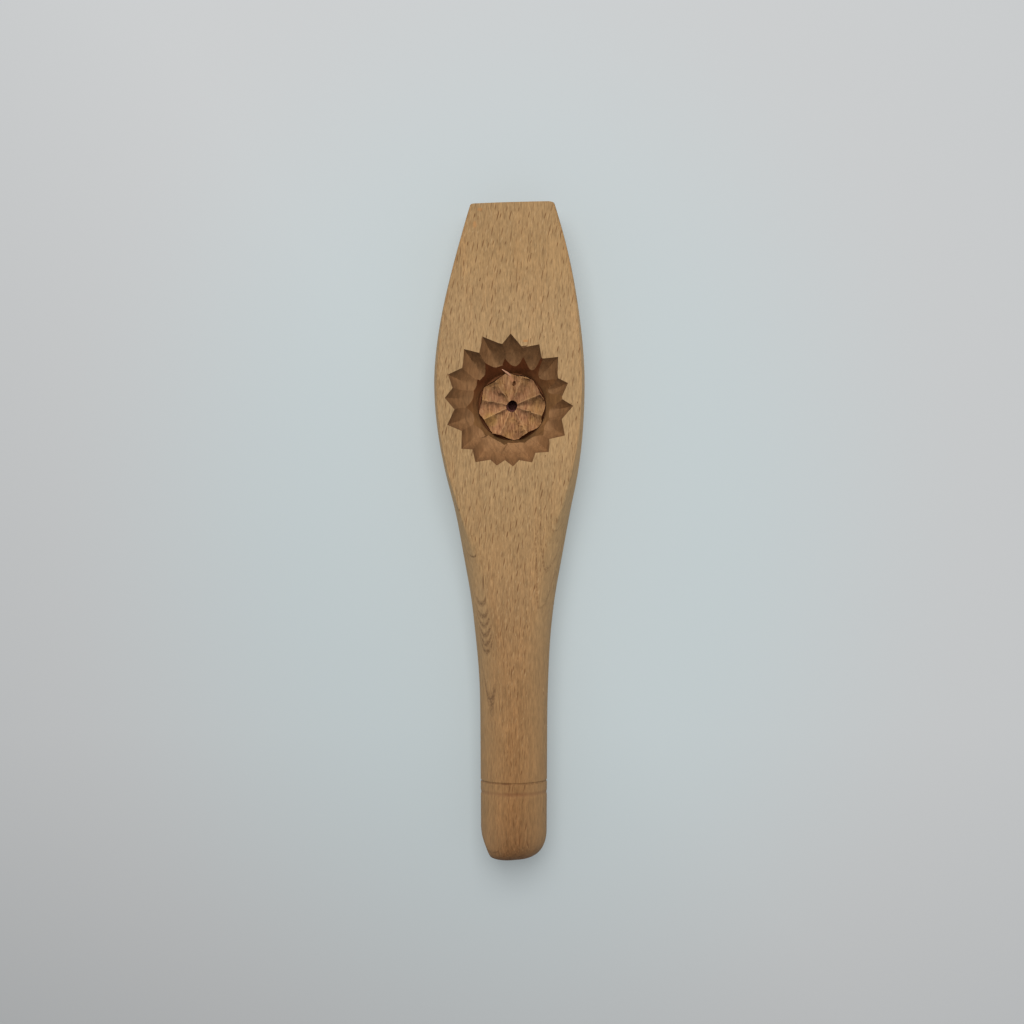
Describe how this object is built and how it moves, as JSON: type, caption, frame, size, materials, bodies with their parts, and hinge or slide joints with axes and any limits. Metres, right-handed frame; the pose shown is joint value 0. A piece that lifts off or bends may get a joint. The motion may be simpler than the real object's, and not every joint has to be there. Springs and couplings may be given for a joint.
{
  "type": "wooden cookie mold",
  "caption": "Flat-faced wooden paddle with a turned handle and a carved flower hollow, in which filled cookies are pressed and knocked out.",
  "frame": {"origin": "middle of the outline, on the plane of the back flat", "axes": "+Y along the handle towards the sawn end of the head, +X to the right as seen on the carved face, +Z out of the carved face"},
  "size_m": [0.06, 0.26, 0.027],
  "materials": {
    "beech": "sanded and unvarnished"
  },
  "bodies": {
    "root": {"mold": "beech"}
  },
  "joints": []
}
